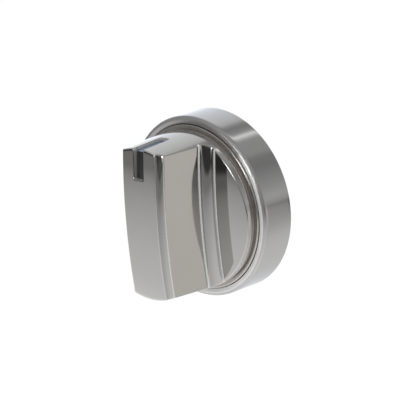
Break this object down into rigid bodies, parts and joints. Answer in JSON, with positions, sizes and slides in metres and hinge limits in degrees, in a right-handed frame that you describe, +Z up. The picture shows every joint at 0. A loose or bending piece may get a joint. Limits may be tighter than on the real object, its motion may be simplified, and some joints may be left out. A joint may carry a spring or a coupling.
{
  "type": "oven control knob",
  "caption": "Pointer knob with a finger bar and a brushed steel skirt ring, pushed on an appliance's flatted shaft and turned to set it.",
  "frame": {"origin": "on the shaft's axis at the mouth of the bore, in the plane of the skirt ring's back edge", "axes": "as mounted with the pointer up: +Y from the knob into the appliance along the shaft, +Z up along the finger bar to the pointer, +X to the right seen from the front"},
  "size_m": [0.06, 0.0365, 0.06],
  "materials": {
    "grip_plating": "satin bright nickel-chrome plating on moulded plastic",
    "pointer_black": "gloss black moulded strip",
    "ring_steel": "stainless sheet, side brushed round the ring, lip polished",
    "hub_plastic": "black glass-filled moulding, fine matt",
    "band_steel": "zinc-plated steel band, satin",
    "spring_steel": "blued spring steel",
    "screw_steel": "zinc-plated steel"
  },
  "bodies": {
    "root": {"grip_cover": "grip_plating", "pointer_strip": "pointer_black", "skirt_ring": "ring_steel", "hub": "hub_plastic", "hub_band": "band_steel", "shaft_clip": "spring_steel", "hub_screw_1": "screw_steel", "hub_screw_2": "screw_steel", "hub_screw_3": "screw_steel", "hub_screw_4": "screw_steel"}
  },
  "joints": []
}
